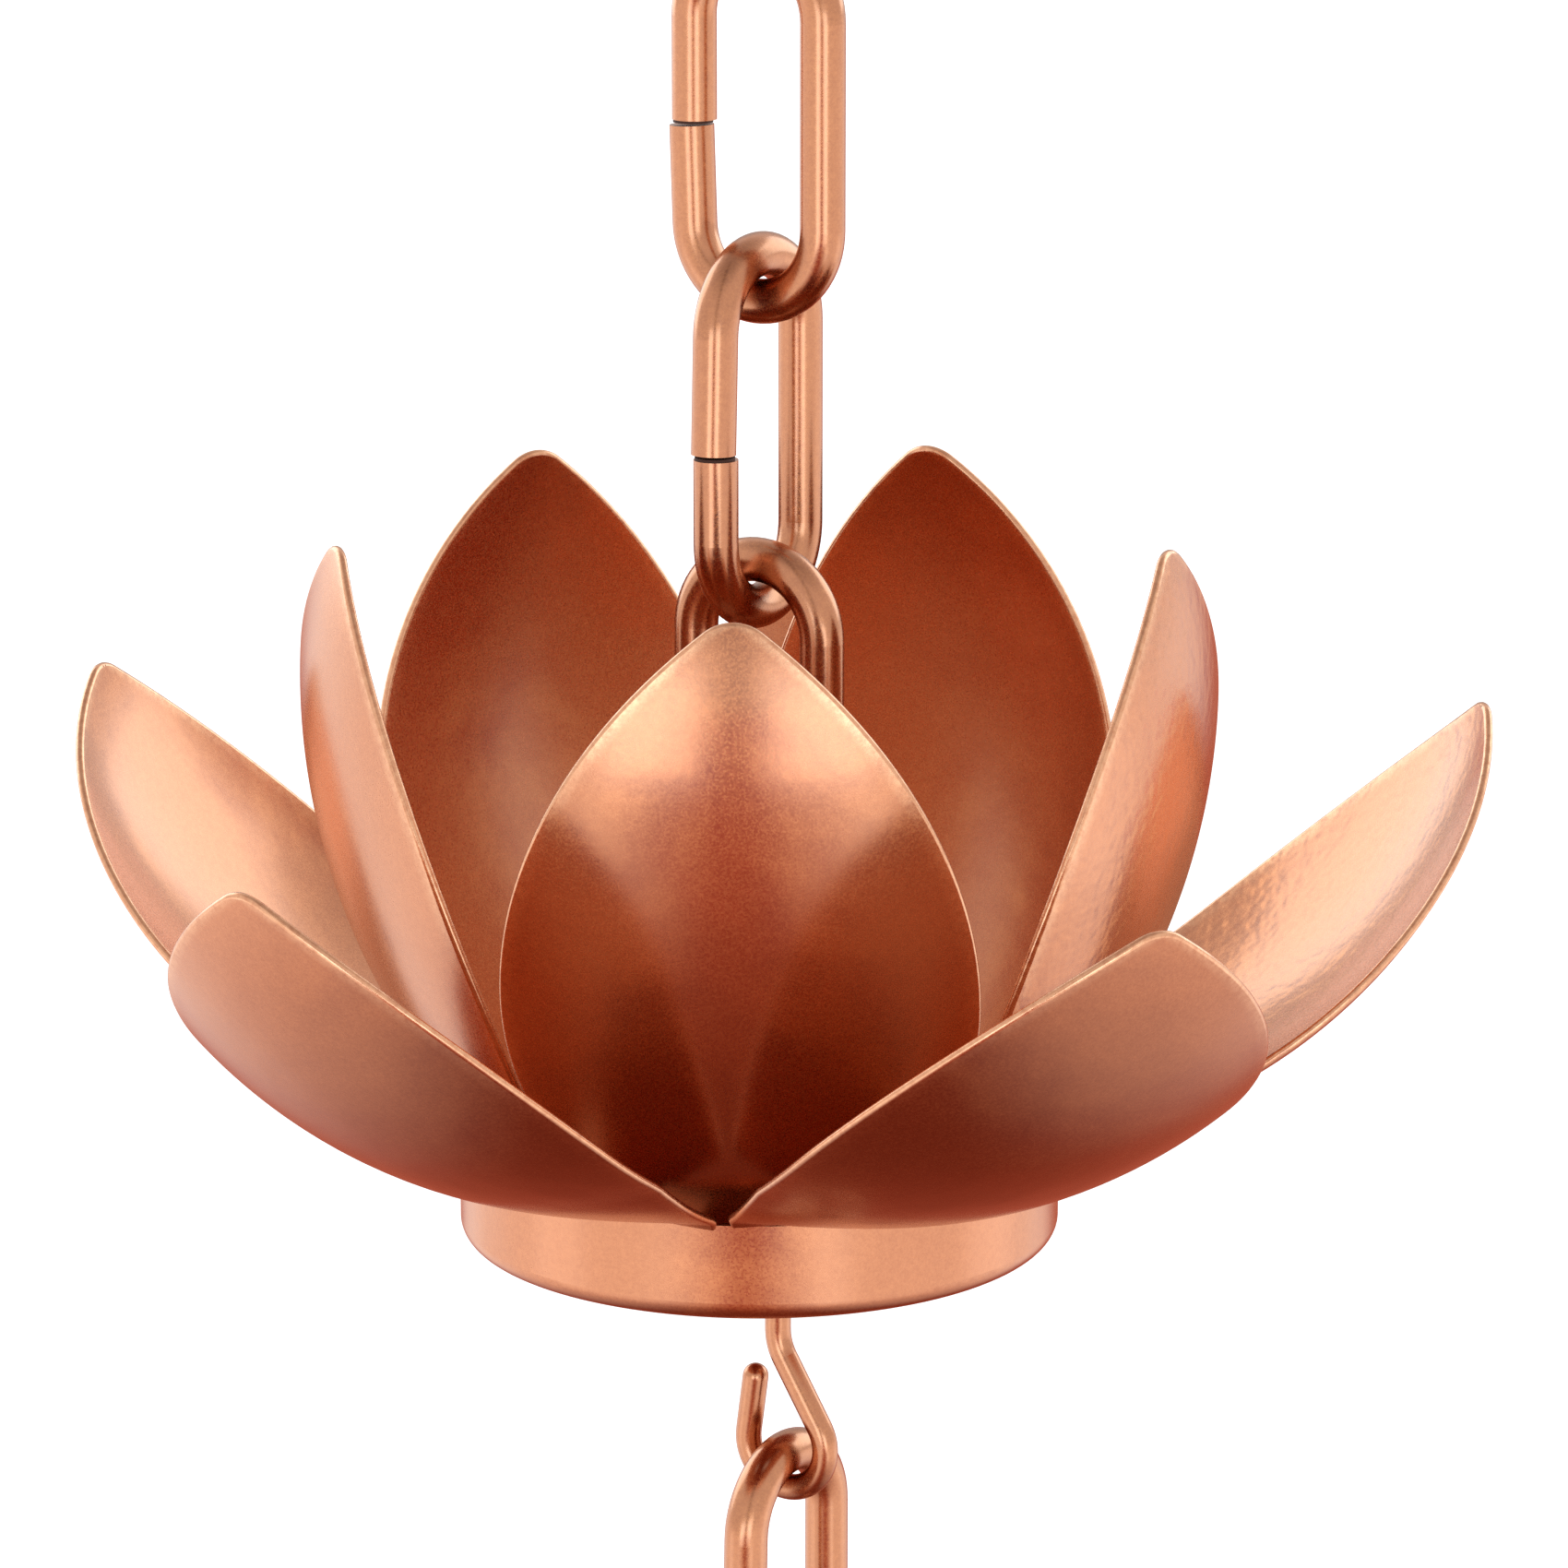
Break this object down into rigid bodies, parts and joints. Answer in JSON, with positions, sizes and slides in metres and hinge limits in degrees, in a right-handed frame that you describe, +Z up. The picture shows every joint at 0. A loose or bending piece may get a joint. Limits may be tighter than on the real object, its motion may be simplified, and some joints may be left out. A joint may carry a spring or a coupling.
{
  "type": "rain chain section",
  "caption": "Rain chain section: a lotus cup of pressed metal petals on a shallow pan, hung on oval wire links, with an open hook and link below for the next section.",
  "frame": {"origin": "the point inside the upper link's top bend where the chain above it bears", "axes": "+Z up along the hanging chain; the upper link and the open hook lie in the XZ plane"},
  "size_m": [0.1295, 0.1312, 0.1752],
  "materials": {
    "link_paint": "copper-coloured satin paint on steel wire",
    "cup_paint": "copper-coloured satin paint with fine metallic speckle on steel sheet"
  },
  "bodies": {
    "upper_link": {"upper_link": "link_paint"},
    "lower_link": {"lower_link": "link_paint"},
    "cup_link": {"cup_link": "link_paint"},
    "cup": {"cup_hook": "link_paint", "base_pan": "cup_paint", "inner_petal_1": "cup_paint", "inner_petal_2": "cup_paint", "inner_petal_3": "cup_paint", "inner_petal_4": "cup_paint", "inner_petal_5": "cup_paint", "outer_petal_1": "cup_paint", "outer_petal_2": "cup_paint", "outer_petal_3": "cup_paint", "outer_petal_4": "cup_paint", "outer_petal_5": "cup_paint"},
    "bottom_link": {"bottom_link": "link_paint"}
  },
  "joints": [
    {"name": "lower_link_swing", "type": "hinge", "parent": "upper_link", "child": "lower_link", "pos_m": [0, 0, -0.0256], "axis": [0, 1, 0], "range_deg": [-60, 60]},
    {"name": "cup_link_swing", "type": "hinge", "parent": "lower_link", "child": "cup_link", "pos_m": [0, 0, -0.0532], "axis": [1, 0, 0], "range_deg": [-40, 40]},
    {"name": "cup_swing", "type": "hinge", "parent": "cup_link", "child": "cup", "pos_m": [0, 0, -0.0816], "axis": [0, 1, 0], "range_deg": [-30, 30]},
    {"name": "bottom_link_swing", "type": "hinge", "parent": "cup", "child": "bottom_link", "pos_m": [0.00302, 0, -0.14077], "axis": [1, 0, 0], "range_deg": [-60, 60]}
  ]
}
